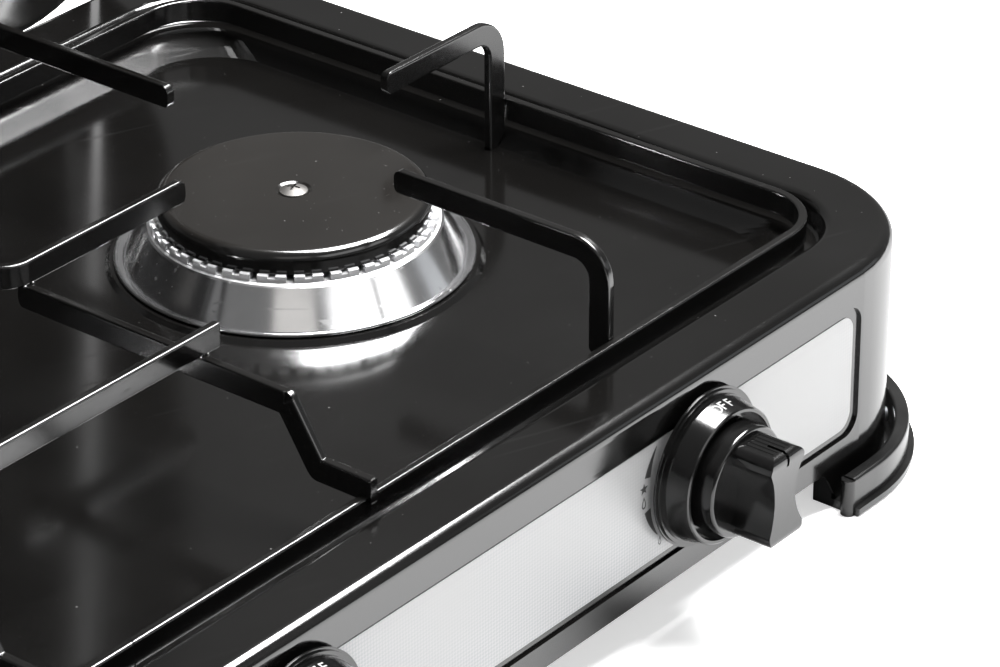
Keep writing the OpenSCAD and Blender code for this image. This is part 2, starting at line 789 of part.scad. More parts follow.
// side view of the grip, height over depth, with soft front corners and a hollow front
module grip_side() {
    soft = 2.5;
    back = hub_s - 2;
    hollow_r = 90;
    difference() {
        union() {
            translate([back, -grip_h]) square([knob_len - soft - back, 2 * grip_h]);
            translate([back, soft - grip_h])
                square([knob_len - back, 2 * grip_h - 2 * soft]);
            for (s = [-1, 1]) translate([knob_len - soft, s * (grip_h - soft)]) circle(soft);
        }
        translate([knob_len + hollow_r - 0.9, 0]) circle(hollow_r, $fn = 256);
    }
}

module knob(i) {
    fr = flange_d / 2;
    br = skirt_back_d / 2;
    sr = skirt_d / 2;
    hr = hub_d / 2;
    rib = 0.6;
    color([0.07, 0.07, 0.075]) place() tap_place(i) translate([0, 0, knob_back]) difference() {
        union() {
            // flange with its fine steps, and the tapered skirt
            rotate_extrude($fn = 128) difference() {
                union() {
                    square([fr, 0.8]);
                    square([fr - 1.2, 0.9]);
                    square([fr - 0.8, 1.6]);
                    square([fr - 1.9, 1.7]);
                    square([br + 0.4, 2.3]);
                    polygon([[0, 0], [br, 0], [br, 3], [sr + 0.25, skirt_s - 0.4],
                        [sr - 0.2, skirt_s], [0, skirt_s]]);
                }
                // groove between the skirt and the hub
                translate([hr, skirt_s - 5]) square([sr - hr - 1.1, 10]);
            }
            // hub with a soft front edge
            rotate_extrude($fn = 128) {
                square([hr, hub_s - 1]);
                square([hr - 1, hub_s]);
                translate([hr - 1, hub_s - 1]) circle(1);
            }
            // grip
            intersection() {
                translate([0, 0, hub_s - 2]) linear_extrude(40) grip_outline();
                rotate([0, -90, 0]) linear_extrude(60, center = true) grip_side();
            }
        }
        // hollow back and the socket of the stem
        difference() {
            translate([0, 0, -1]) cylinder(r = hr - 2, h = 12);
            cylinder(r = stem_r + 2.2, h = 20);
        }
        difference() {
            translate([0, 0, -1]) cylinder(r = stem_r + fit, h = socket_deep + 1.3);
            translate([stem_r - 1.5 + fit, -10, 2]) cube([10, 20, 40]);
        }
        // fine ribs of both grip ends
        for (e = [-1, 1], k = [-2:2]) translate([1.9 * k, e * (grip_h + 0.3), hub_s + 1])
            cylinder(r = rib, h = knob_len - hub_s - 4, $fn = 24);
        // pointer groove over the upper front edge
        translate([-0.6, grip_h - 0.9, knob_len - 8]) cube([1.2, 3, 10]);
        translate([-0.6, grip_h - 4.5, knob_len - 1.2]) cube([1.2, 6, 3]);
    }
}
module knob_right() { knob(1); }
module knob_middle() { knob(0); }
module knob_left() { knob(-1); }

/* pan support */

module support_frame() {
    color([0.07, 0.07, 0.07]) place() difference() {
        sweep(core_x, core_y)
            translate([frame_r - bar_t / 2, frame_z + bar_h / 2]) bar_section(bar_t, bar_h);
        // groove where the ends of the bent bar meet
        translate([seam_x, -frame_in_y - bar_t / 2, frame_z + bar_h / 2]) difference() {
            cube([0.3, bar_t + 2, bar_h + 2], center = true);
            cube([2, bar_t - 0.8, bar_h - 0.8], center = true);
        }
    }
}

// bar standing on edge along +x, top at z = 0, centred on y = 0
module run(len) {
    translate([0, 0, -bar_h / 2]) rotate([90, 0, 90]) linear_extrude(len)
        bar_section(bar_t, bar_h);
}

// bend in the upright plane, from a run along +x into a leg down
module down_bend() {
    rm = bend_r + bar_h / 2;
    translate([0, 0, -bar_h - bend_r]) rotate([90, 0, 0]) rotate_extrude(angle = 90)
        translate([rm, 0]) bar_section(bar_h, bar_t);
}

// finger with its tip at x = 0: a run, a bend and a leg whose outer face is at x = reach
module finger(reach, leg_z, clip_out, clip_in) {
    bend_x = reach - bar_h - bend_r;
    difference() {
        union() {
            translate([0, 0, pan_z]) run(bend_x);
            translate([bend_x, 0, pan_z]) down_bend();
            translate([reach - bar_h / 2, 0, leg_z])
                linear_extrude(pan_z - bar_h - bend_r - leg_z) bar_section(bar_h, bar_t);
        }
        finger_tip_cut();
        // chamfers of the leg's lower corners
        translate([reach, 0, leg_z]) rotate([0, 45, 0])
            cube([clip_out * 1.414, 20, clip_out * 1.414], center = true);
        translate([reach - bar_h, 0, leg_z]) rotate([0, 45, 0])
            cube([clip_in * 1.414, 20, clip_in * 1.414], center = true);
    }
}

// rounds the corners of a tip at x = 0
module finger_tip_cut() {
    translate([0, 0, run_z]) rotate([90, 0, 0]) linear_extrude(20, center = true) difference() {
        translate([-1, -1]) square([tip_r + 1, bar_h + 2]);
        translate([tip_r, tip_r]) circle(tip_r);
        translate([tip_r, bar_h - tip_r]) circle(tip_r);
        translate([0, tip_r]) square([10, bar_h - 2 * tip_r]);
    }
}

module fingers(side) {
    x = side * finger_x;
    color([0.07, 0.07, 0.07]) place() {
        // outer finger, whose leg stands on the floor
        translate([side * (finger_x + tip_out), arm_y, 0])
            rotate(side > 0 ? 0 : 180)
            finger(frame_in_x - finger_x - tip_out, floor_z + seat, 4.6, 0.5);
        // front and rear fingers, whose legs end level with the frame
        translate([x, arm_y - finger_tip, 0]) rotate(-90)
            finger(frame_in_y - finger_tip + arm_y, frame_z, 0.5, 3);
        translate([x, arm_y + finger_tip, 0]) rotate(90)
            finger(frame_in_y - finger_tip - arm_y, frame_z, 0.5, 3);
    }
}
module fingers_right() { fingers(1); }
module fingers_left() { fingers(-1); }

// finger that turns towards the back and goes down to the rear bar of the frame
module long_finger(side) {
    br = 9.3;
    tip_x = finger_x - tip_in;
    x1 = cross_x + br;
    y1 = frame_in_y - bar_h - bend_r;
    color([0.07, 0.07, 0.07]) place() mirror([side < 0 ? 1 : 0, 0, 0]) {
        translate([tip_x, arm_y, 0]) rotate(180) difference() {
            translate([0, 0, pan_z]) run(tip_x - x1);
            finger_tip_cut();
        }
        translate([x1, arm_y + br, pan_z - bar_h / 2]) rotate(180) rotate_extrude(angle = 90)
            translate([br, 0]) bar_section(bar_t, bar_h);
        translate([cross_x, arm_y + br, pan_z]) rotate(90) run(y1 - arm_y - br);
        translate([cross_x, y1, pan_z]) rotate(90) down_bend();
        translate([cross_x, frame_in_y - bar_h / 2, frame_z])
            linear_extrude(pan_z - bar_h - bend_r - frame_z) bar_section(bar_t, bar_h);
    }
}
module long_finger_right() { long_finger(1); }
module long_finger_left() { long_finger(-1); }

// front half of the cross bar: under the long finger at the back, joggled down at the front
module cross_bar(side) {
    x = cross_x + cross_step;
    high = run_z;
    low = rim_z + cross_end_rise;
    y_end = frame_in_y + bar_t + 1.2;
    knee1 = y_end - 32.5;
    knee2 = y_end - 20.9;
    slope = atan((high - low) / (knee2 - knee1));
    len = sqrt(pow(high - low, 2) + pow(knee2 - knee1, 2));
    color([0.07, 0.07, 0.07]) place() translate([side * x, arm_y, 0]) rotate(-90)
        difference() {
            union() {
                translate([2 - bar_h / 2, 0, high]) run(knee1 + arm_y + bar_h / 2 - 2 + 0.01);
                translate([knee1 + arm_y, 0, high - bar_h / 2]) rotate([0, slope, 0])
                    translate([0, 0, bar_h / 2]) run(len);
                for (p = [[knee1, high], [knee2, low]])
                    translate([p[0] + arm_y, 0, p[1] - bar_h / 2]) rotate([90, 0, 0])
                    cylinder(r = bar_h / 2, h = bar_t - 1, center = true);
                translate([knee2 + arm_y, 0, low]) run(y_end - knee2);
            }
            // rounded rear end
            translate([2 - bar_h / 2, 0, high - bar_h]) rotate([90, 0, 0])
                linear_extrude(20, center = true) difference() {
                    translate([-1, -1]) square([4, 10]);
                    translate([3, 3]) circle(3);
                    translate([3, bar_h - 3]) circle(3);
                    translate([0, 3]) square([10, bar_h - 6]);
                }
            // half lap over the frame's front bar
            translate([frame_in_y - 0.05 + arm_y, -10, 0])
                cube([bar_t + 0.1, 20, frame_z + bar_h]);
        }
}
module cross_bar_right() { cross_bar(1); }
module cross_bar_left() { cross_bar(-1); }

module middle_bar_front() {
    half = cross_x + cross_step + 7.2;
    color([0.07, 0.07, 0.07]) place() translate([0, arm_y - mid_bar_y, pan_z])
        translate([-half, 0, 0]) run(2 * half);
}

module middle_bar_rear() {
    half = cross_x - bar_t / 2;
    color([0.07, 0.07, 0.07]) place() translate([0, arm_y + mid_bar_y, pan_z])
        translate([-half, 0, 0]) run(2 * half);
}

/* lid and hinges */

// turns what is drawn closed into the open pose
module opened() {
    place() translate([0, hinge_y, hinge_z]) rotate([-90, 0, 0])
        translate([0, -hinge_y, -hinge_z]) children();
}

module lid_profile() {
    t = lid_t;
    r = lid_round;
    translate([lid_r - t, lid_z]) square([t, lid_h - r]);
    translate([lid_r - hem_w, lid_z]) square([hem_w, 1.6]);
    translate([lid_r - r, lid_z + lid_h - r]) bend(r - t, t, 0);
    translate([0, lid_z + lid_h - t]) square([lid_r - r, t]);
}

module lid() {
    color([0.08, 0.08, 0.085]) opened() {
        sweep(lid_cx, lid_cy) lid_profile();
        translate([0, 0, lid_z + lid_h - lid_t])
            linear_extrude(lid_t) square([2 * lid_cx, 2 * lid_cy], center = true);
    }
}

function strap_line(o) = [[hinge_y + knuckle_r - strap_t + o, hinge_z],
    [hinge_y + knuckle_r - strap_t + o, lid_z + 3.5],
    [lid_half_d + o, lid_z + 9], [lid_half_d + o, lid_z + 20]];

module lid_straps() {
    color("silver") opened() for (s = [-1, 1]) translate([s * hinge_x - strap_w / 2, 0, 0])
        difference() {
            union() {
                rotate([90, 0, 90]) linear_extrude(strap_w)
                    polygon(concat(strap_line(0), [for (k = [3:-1:0]) strap_line(strap_t)[k]]));
                translate([0, hinge_y, hinge_z]) rotate([0, 90, 0])
                    cylinder(r = knuckle_r, h = strap_w);
            }
            translate([-1, hinge_y, hinge_z]) rotate([0, 90, 0])
                cylinder(r = hinge_pin_d / 2 + fit, h = strap_w + 2);
            for (x = [-0.27, 0.27]) translate([strap_w * (0.5 + x), 0, rivet_z])
                rotate([-90, 0, 0]) cylinder(r = 1.5, h = 300);
        }
}

module strap_rivets() {
    y = lid_half_d + strap_t;
    color("silver") opened() for (s = [-1, 1], x = [-0.27, 0.27])
        translate([s * hinge_x + strap_w * x, 0, rivet_z]) rotate([-90, 0, 0]) {
            translate([0, 0, y - strap_t]) cylinder(r = 1.5, h = strap_t + 0.01);
            translate([0, 0, y]) cylinder(r1 = 3, r2 = 2, h = 1);
        }
}

module hinge_brackets() {
    gap = strap_w / 2 + 0.5;
    pr = hinge_pin_d / 2;
    color("silver") place() for (s = [-1, 1]) translate([s * hinge_x, 0, 0]) for (m = [0, 1])
        mirror([m, 0, 0]) difference() {
            union() {
                translate([gap, wall_in - 10, hinge_z - 6]) cube([1.5, 10, 12]);
                translate([gap, wall_in - 1.2, hinge_z - 6]) cube([13, 1.2, 12]);
            }
            translate([0, hinge_y, hinge_z]) rotate([0, 90, 0]) cylinder(r = pr, h = gap + 2.5);
            translate([gap + 8, wall_in - 5, hinge_z]) rotate([-90, 0, 0])
                cylinder(r = 1.5, h = 10);
        }
}

module hinge_pins() {
    color("silver") place() for (s = [-1, 1]) translate([s * hinge_x, hinge_y, hinge_z])
        rotate([0, 90, 0]) cylinder(r = hinge_pin_d / 2, h = strap_w + 4, center = true);
}

module bracket_rivets() {
    x = strap_w / 2 + 8.5;
    color("silver") place() for (s = [-1, 1], m = [-1, 1])
        translate([s * hinge_x + m * x, wall_in - 1.2, hinge_z]) rotate([-90, 0, 0]) {
            cylinder(r = 1.5, h = 1.2);
            translate([0, 0, -0.9]) cylinder(r1 = 2, r2 = 2.8, h = 0.9);
        }
}

body_shell();
foot_front_right();
foot_front_left();
foot_rear_right();
foot_rear_left();
foot_screws();
burner_cup_right();
burner_cup_middle();
burner_cup_left();
burner_ring_right();
burner_ring_middle();
burner_ring_left();
burner_cap_right();
burner_cap_middle();
burner_cap_left();
cap_screws();
gas_rail();
rail_brackets();
tap_right();
tap_middle();
tap_left();
tap_covers();
tap_clamps();
clamp_screws();
jets();
supply_pipe();
inlet_nozzle();
inlet_nut();
tap_collar_right();
tap_collar_middle();
tap_collar_left();
tap_stem_right();
tap_stem_middle();
tap_stem_left();
knob_right();
knob_middle();
knob_left();
support_frame();
cross_bar_right();
cross_bar_left();
fingers_right();
fingers_left();
long_finger_right();
long_finger_left();
middle_bar_front();
middle_bar_rear();
hinge_brackets();
hinge_pins();
bracket_rivets();
lid();
lid_straps();
strap_rivets();
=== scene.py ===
import math
import random
import bmesh
import bpy
from mathutils import Matrix, Vector


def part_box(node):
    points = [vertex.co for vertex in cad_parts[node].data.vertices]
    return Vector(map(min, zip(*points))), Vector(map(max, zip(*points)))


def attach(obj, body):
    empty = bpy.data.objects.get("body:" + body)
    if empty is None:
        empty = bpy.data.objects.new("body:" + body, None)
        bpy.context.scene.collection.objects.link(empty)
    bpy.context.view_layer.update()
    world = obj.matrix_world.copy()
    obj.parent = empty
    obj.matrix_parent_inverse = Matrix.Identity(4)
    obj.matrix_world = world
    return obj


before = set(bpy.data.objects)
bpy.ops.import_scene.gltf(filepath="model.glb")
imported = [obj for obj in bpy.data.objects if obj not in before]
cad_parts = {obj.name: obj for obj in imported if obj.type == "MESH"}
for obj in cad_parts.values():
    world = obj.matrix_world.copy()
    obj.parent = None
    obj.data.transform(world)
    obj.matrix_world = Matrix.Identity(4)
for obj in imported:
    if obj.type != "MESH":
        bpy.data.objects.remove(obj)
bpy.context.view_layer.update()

# Measures in millimetres, and the step to metres

MM = 0.001
SIDES = ("right", "middle", "left")
KNOB_X = {"right": 188.1, "middle": 0.0, "left": -188.1}
KNOB_Z = 50.8
KNOB_BACK = 170.4          # back of the knobs' flange, in front of the middle line
ARM_Y = -4.35              # line of the side fingers of the pan support
PANEL_Y = -167.35          # face of the sunk front panel
PANEL_Z = 47.5             # its middle height
LABEL_HALF_W = 271.2
LABEL_HALF_H = 20.6
LABEL_R = 6.0              # its rounded corners
STEM_HOLE_R = 9.0          # holes of the tap stems in the label
SKIRT_R = 23.5             # knob's skirt beside the flange
SKIRT_START = 3.0          # where the skirt starts to narrow, from the flange's back
SKIRT_SLOPE = 1.35 / 6.8   # how fast it narrows
LETTER_R = 22.8            # mean radius of the printed letters
LETTER_H = 3.7
DOT_D = 2.0
FRAME_Y = 137.4            # wall of the support's frame, where the legs stand
FRAME_END_X = 295.8
FINGER_X = 183.6
CROSS_LEG_X = 57.5
CROSS_X = 66.2
MIDDLE_BAR_FWD = 71.3      # from the side fingers to the middle bar
WELD_R = 0.8
WELD_Z = 110.0             # underside of the fingers, where they cross
LEG_WELD_Z = (79.6, 80.7, 81.8, 82.9)

# The camera, solved from the photograph's edges: degrees, pixels and millimetres

CAMERA_TURN = (-51.10, 28.65, -0.23)
CAMERA_PLACE = (-756.9, -852.6, 733.2)
FOCAL_PIXELS = 4399.0
PICTURE_PIXELS = 1000.0
SENSOR_W = 36.0


def body_middle():
    """Where the middle line of the body lies in the row frame, in metres."""
    low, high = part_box("body_shell")
    return (low[1] + high[1]) / 2


MIDDLE_Y = body_middle()


def at(x, y, z):
    """A point in the body's own millimetres, as metres in the row frame."""
    return Vector((x * MM, MIDDLE_Y + y * MM, z * MM))


def place_camera():
    """The camera solved from the photograph's edges."""
    azimuth, elevation, roll = (math.radians(v) for v in CAMERA_TURN)
    right = Vector((math.cos(azimuth), math.sin(azimuth), 0))
    back = Vector((math.sin(azimuth) * math.cos(elevation),
                   -math.cos(azimuth) * math.cos(elevation), math.sin(elevation)))
    up = back.cross(right)
    c, s = math.cos(roll), math.sin(roll)
    right, up = right * c + up * s, up * c - right * s
    data = bpy.data.cameras.new("camera")
    data.sensor_width = SENSOR_W
    data.lens = FOCAL_PIXELS / PICTURE_PIXELS * SENSOR_W
    data.clip_start = 0.05
    data.clip_end = 50.0
    cam = bpy.data.objects.new("camera", data)
    turn = Matrix((right, up, back)).transposed().to_4x4()
    cam.matrix_world = Matrix.Translation(at(*CAMERA_PLACE)) @ turn
    bpy.context.scene.collection.objects.link(cam)
    bpy.context.scene.camera = cam


place_camera()


# node helpers

def add(tree, kind, settings=None, **links):
    """Adds a node; links gives sockets by name, underscores for spaces."""
    made = tree.nodes.new(kind)
    for key, value in (settings or {}).items():
        setattr(made, key, value)
    for key, value in links.items():
        socket = made.inputs[int(key[1:])] if key[0] == "i" and key[1:].isdigit() \
            else made.inputs[key.replace("_", " ")]
        if isinstance(value, bpy.types.NodeSocket):
            tree.links.new(value, socket)
        else:
            socket.default_value = value
    return made


def shader_group(name, inputs, outputs):
    """An empty node group with named sockets, and its two end nodes."""
    tree = bpy.data.node_groups.new(name, "ShaderNodeTree")
    for label, kind, value in inputs:
        socket = tree.interface.new_socket(label, in_out="INPUT", socket_type=kind)
        if value is not None:
            socket.default_value = value
    for label, kind in outputs:
        tree.interface.new_socket(label, in_out="OUTPUT", socket_type=kind)
    return tree, tree.nodes.new("NodeGroupInput"), tree.nodes.new("NodeGroupOutput")


def maths(tree, operation, a, b=0.0, clamp=False):
    made = add(tree, "ShaderNodeMath", {"operation": operation, "use_clamp": clamp})
    for socket, value in zip(made.inputs, (a, b)):
        if isinstance(value, bpy.types.NodeSocket):
            tree.links.new(value, socket)
        else:
            socket.default_value = value
    return made.outputs[0]


def spread(tree, value, low, high, to_low=0.0, to_high=1.0):
    made = add(tree, "ShaderNodeMapRange", {"clamp": True}, Value=value)
    for key, number in (("From Min", low), ("From Max", high), ("To Min", to_low),
                        ("To Max", to_high)):
        made.inputs[key].default_value = number
    return made.outputs[0]


def mix_colour(tree, factor, a, b):
    made = add(tree, "ShaderNodeMix", {"data_type": "RGBA"})
    for socket, value in ((made.inputs[0], factor), (made.inputs[6], a), (made.inputs[7], b)):
        if isinstance(value, bpy.types.NodeSocket):
            tree.links.new(value, socket)
        else:
            socket.default_value = value
    return made.outputs[2]


def grey(level, warm=0.0):
    return (level * (1 + warm), level, level * (1 - warm), 1.0)


# shared effects

def make_dust():
    """Specks and lint that lie on the upper faces of the enamel."""
    tree, start, end = shader_group(
        "dust_specks",
        [("Cells", "NodeSocketFloat", 260.0), ("Size", "NodeSocketFloat", 0.07),
         ("Share", "NodeSocketFloat", 0.03), ("Fine share", "NodeSocketFloat", 0.012)],
        [("Specks", "NodeSocketFloat"), ("Film", "NodeSocketFloat")])
    place = add(tree, "ShaderNodeTexCoord").outputs["Object"]
    normal = add(tree, "ShaderNodeNewGeometry").outputs["Normal"]
    up = add(tree, "ShaderNodeSeparateXYZ", Vector=normal)
    facing = spread(tree, up.outputs[2], 0.75, 0.97)
    layers = []
    for factor, size, share in ((1.0, start.outputs["Size"], start.outputs["Share"]),
                                (3.5, 0.13, start.outputs["Fine share"])):
        scale = maths(tree, "MULTIPLY", start.outputs["Cells"], factor)
        cells = add(tree, "ShaderNodeTexVoronoi", Vector=place, Scale=scale)
        near = maths(tree, "LESS_THAN", cells.outputs["Distance"], size)
        pick = add(tree, "ShaderNodeSeparateColor", Color=cells.outputs["Color"])
        chosen = maths(tree, "LESS_THAN", pick.outputs[0], share)
        strength = spread(tree, pick.outputs[1], 0.0, 1.0, 0.25, 1.0)
        layers.append(maths(tree, "MULTIPLY", maths(tree, "MULTIPLY", near, chosen), strength))
    specks = maths(tree, "MULTIPLY", maths(tree, "MAXIMUM", layers[0], layers[1]), facing)
    tree.links.new(specks, end.inputs["Specks"])
    film = add(tree, "ShaderNodeTexNoise", Vector=place, Scale=9.0, Detail=6.0)
    veil = maths(tree, "MULTIPLY", spread(tree, film.outputs[0], 0.3, 0.7, 0.5, 1.0), facing)
    tree.links.new(veil, end.inputs["Film"])
    return tree


def make_ripple():
    """The faint orange peel of sprayed enamel, as a height."""
    tree, start, end = shader_group(
        "enamel_ripple", [("Fine", "NodeSocketFloat", 0.3)], [("Height", "NodeSocketFloat")])
    place = add(tree, "ShaderNodeTexCoord").outputs["Object"]
    broad = add(tree, "ShaderNodeTexNoise", Vector=place, Scale=55.0, Detail=2.0)
    fine = add(tree, "ShaderNodeTexNoise", Vector=place, Scale=1300.0, Detail=2.0)
    both = maths(tree, "ADD", broad.outputs[0],
                 maths(tree, "MULTIPLY", fine.outputs[0], start.outputs["Fine"]))
    tree.links.new(both, end.inputs["Height"])
    return tree


def make_grain():
    """Fine even grain of moulded or cast surfaces, with a slow change of gloss."""
    tree, start, end = shader_group(
        "moulded_grain", [("Scale", "NodeSocketFloat", 900.0)],
        [("Height", "NodeSocketFloat"), ("Gloss", "NodeSocketFloat")])
    place = add(tree, "ShaderNodeTexCoord").outputs["Object"]
    fine = add(tree, "ShaderNodeTexNoise", Vector=place, Scale=start.outputs["Scale"], Detail=3.0)
    slow = add(tree, "ShaderNodeTexNoise", Vector=place, Scale=35.0, Detail=4.0)
    tree.links.new(fine.outputs[0], end.inputs["Height"])
    tree.links.new(slow.outputs[0], end.inputs["Gloss"])
    return tree


def make_scratches():
    """Hairline wear: long thin marks at a slant, as a mask."""
    tree, start, end = shader_group(
        "hairlines", [("Scale", "NodeSocketFloat", 60.0), ("Angle", "NodeSocketFloat", 0.4)],
        [("Mask", "NodeSocketFloat")])
    place = add(tree, "ShaderNodeTexCoord").outputs["Object"]
    turned = add(tree, "ShaderNodeVectorRotate", {"rotation_type": "Z_AXIS"}, Vector=place,
                 Angle=start.outputs["Angle"])
    long = add(tree, "ShaderNodeVectorMath", {"operation": "MULTIPLY"}, i0=turned.outputs[0])
    long.inputs[1].default_value = (0.04, 1.0, 1.0)
    lines = add(tree, "ShaderNodeTexNoise", Vector=long.outputs[0],
                Scale=maths(tree, "MULTIPLY", start.outputs["Scale"], 12.0), Detail=1.0)
    tree.links.new(spread(tree, lines.outputs[0], 0.68, 0.76), end.inputs["Mask"])
    return tree


DUST, RIPPLE, GRAIN, HAIRLINES = make_dust(), make_ripple(), make_grain(), make_scratches()


def use(tree, group, **values):
    made = tree.nodes.new("ShaderNodeGroup")
    made.node_tree = group
    for key, value in values.items():
        made.inputs[key].default_value = value
    return made


# materials

def begin(name):
    mat = bpy.data.materials.new(name)
    mat.use_nodes = True
    tree = mat.node_tree
    tree.nodes.clear()
    shader = tree.nodes.new("ShaderNodeBsdfPrincipled")
    out = tree.nodes.new("ShaderNodeOutputMaterial")
    tree.links.new(shader.outputs[0], out.inputs[0])
    return mat, tree, shader


def set_on(shader, **values):
    for key, value in values.items():
        shader.inputs[key.replace("_", " ")].default_value = value


def bump(tree, shader, height, strength, distance, edge=0.0):
    """Fine relief, laid over edges that are softened by the radius given in metres."""
    made = add(tree, "ShaderNodeBump", Height=height, Strength=strength, Distance=distance)
    if edge:
        soft = add(tree, "ShaderNodeBevel", {"samples": 6}, Radius=edge)
        tree.links.new(soft.outputs[0], made.inputs["Normal"])
    tree.links.new(made.outputs[0], shader.inputs["Normal"])


def black_enamel(name, base, rough, dusty, specks=0.03, fine=0.012, edge=0.0):
    mat, tree, shader = begin(name)
    dust = use(tree, DUST, Share=specks)
    dust.inputs["Fine share"].default_value = fine
    marks = use(tree, HAIRLINES, Scale=30.0)
    place = add(tree, "ShaderNodeTexCoord").outputs["Object"]
    slow = add(tree, "ShaderNodeTexNoise", Vector=place, Scale=14.0, Detail=5.0)
    tint = mix_colour(tree, spread(tree, slow.outputs[0], 0.35, 0.65), grey(base, 0.05),
                      grey(base * 1.35, 0.03))
    veil = maths(tree, "MULTIPLY", dust.outputs["Film"], dusty)
    filmed = mix_colour(tree, veil, tint, grey(0.1, 0.13))
    tree.links.new(mix_colour(tree, dust.outputs["Specks"], filmed, grey(0.07, 0.03)),
                   shader.inputs["Base Color"])
    worn = maths(tree, "ADD", spread(tree, slow.outputs[0], 0.3, 0.7, rough, rough * 1.5),
                 maths(tree, "MULTIPLY", marks.outputs[0], 0.05))
    filmy = maths(tree, "ADD", worn, maths(tree, "MULTIPLY", veil, 0.6))
    rubbed = maths(tree, "ADD", filmy, maths(tree, "MULTIPLY", dust.outputs["Specks"], 0.4), True)
    tree.links.new(rubbed, shader.inputs["Roughness"])
    set_on(shader, IOR=1.7)
    bump(tree, shader, use(tree, RIPPLE, Fine=0.12).outputs[0], 0.25, 0.00006, edge)
    return mat


def plastic(name, base, rough, grain=0.00002, ior=1.6):
    mat, tree, shader = begin(name)
    texture = use(tree, GRAIN, Scale=1400.0)
    dust = use(tree, DUST, Share=0.02, Size=0.06)
    tint = mix_colour(tree, spread(tree, texture.outputs["Gloss"], 0.3, 0.7), grey(base, 0.0),
                      grey(base * 1.4, 0.02))
    tree.links.new(mix_colour(tree, dust.outputs["Specks"], tint, grey(0.1, 0.03)),
                   shader.inputs["Base Color"])
    tree.links.new(spread(tree, texture.outputs["Gloss"], 0.3, 0.7, rough * 0.8, rough * 1.35),
                   shader.inputs["Roughness"])
    set_on(shader, IOR=ior)
    bump(tree, shader, texture.outputs["Height"], 0.35, grain)
    return mat


def metal(name, colour, rough, lines=0.0, cast=0.0, anisotropic=0.0, rough_above=None):
    mat, tree, shader = begin(name)
    texture = use(tree, GRAIN, Scale=500.0 if cast else 1500.0)
    marks = use(tree, HAIRLINES, Scale=50.0, Angle=0.9)
    stain = mix_colour(tree, spread(tree, texture.outputs["Gloss"], 0.35, 0.7), colour,
                       tuple(c * 0.82 for c in colour[:3]) + (1.0,))
    tree.links.new(stain, shader.inputs["Base Color"])
    base = spread(tree, texture.outputs["Gloss"], 0.3, 0.7, rough * 0.75, rough * 1.4)
    if rough_above:
        place = add(tree, "ShaderNodeTexCoord").outputs["Object"]
        height = add(tree, "ShaderNodeSeparateXYZ", Vector=place).outputs[2]
        base = maths(tree, "ADD", base, spread(tree, height, rough_above, rough_above + 0.0003,
                                               0.0, 0.35))
    tree.links.new(maths(tree, "ADD", base, maths(tree, "MULTIPLY", marks.outputs[0], lines), True),
                   shader.inputs["Roughness"])
    set_on(shader, Metallic=1.0, Anisotropic=anisotropic)
    bump(tree, shader, texture.outputs["Height"], 0.3 if cast else 0.1,
         0.00008 if cast else 0.00001)
    return mat


def label_film():
    """Silver label: a pale film with a fine printed weave of dots and short strokes."""
    mat, tree, shader = begin("label_film")
    place = add(tree, "ShaderNodeTexCoord").outputs["Object"]
    flat = add(tree, "ShaderNodeVectorRotate", {"rotation_type": "Y_AXIS"}, Vector=place, Angle=0.785)
    grid = add(tree, "ShaderNodeTexChecker", Vector=flat.outputs[0], Scale=1100.0)
    grid.inputs["Color1"].default_value = grey(0.31)
    grid.inputs["Color2"].default_value = (0.19, 0.2, 0.218, 1.0)
    slow = add(tree, "ShaderNodeTexNoise", Vector=place, Scale=6.0, Detail=3.0)
    tone = mix_colour(tree, spread(tree, slow.outputs[0], 0.35, 0.65), grid.outputs["Color"],
                      grey(0.25))
    tree.links.new(tone, shader.inputs["Base Color"])
    tree.links.new(spread(tree, slow.outputs[0], 0.3, 0.7, 0.28, 0.4), shader.inputs["Roughness"])
    set_on(shader, Metallic=0.25, IOR=1.5)
    return mat


def print_ink(name, level, rough):
    mat, tree, shader = begin(name)
    texture = use(tree, GRAIN, Scale=2500.0)
    tree.links.new(mix_colour(tree, spread(tree, texture.outputs["Height"], 0.3, 0.7), grey(level),
                              grey(level * 0.8)), shader.inputs["Base Color"])
    set_on(shader, Roughness=rough)
    return mat


ENAMEL_BODY = black_enamel("enamel_body", 0.0015, 0.1, 0.006)
ENAMEL_CAP = black_enamel("enamel_cap", 0.0025, 0.12, 0.05, 0.12, 0.05)
ENAMEL_BARS = black_enamel("enamel_bars", 0.0015, 0.14, 0.01, 0.02, edge=0.0005)
KNOB_BLACK = plastic("knob_black", 0.002, 0.14, ior=1.55)
FOOT_BLACK = plastic("foot_black", 0.004, 0.2, ior=1.6)
POLISHED = metal("polished_steel", (0.8, 0.8, 0.81, 1), 0.15, lines=0.12, anisotropic=0.3,
                 rough_above=0.0837)
SCREW_STEEL = metal("screw_steel", (0.13, 0.125, 0.12, 1), 0.42, lines=0.2)
ZINC = metal("zinc_plate", (0.6, 0.61, 0.64, 1), 0.32, lines=0.1)
CAST = metal("cast_aluminium", (0.66, 0.66, 0.67, 1), 0.45, cast=1.0)
BRASS = metal("turned_brass", (0.75, 0.56, 0.24, 1), 0.25, lines=0.1)
LABEL = label_film()
INK_BLACK = print_ink("ink_black", 0.02, 0.5)
INK_WHITE = print_ink("ink_white", 0.2, 0.45)

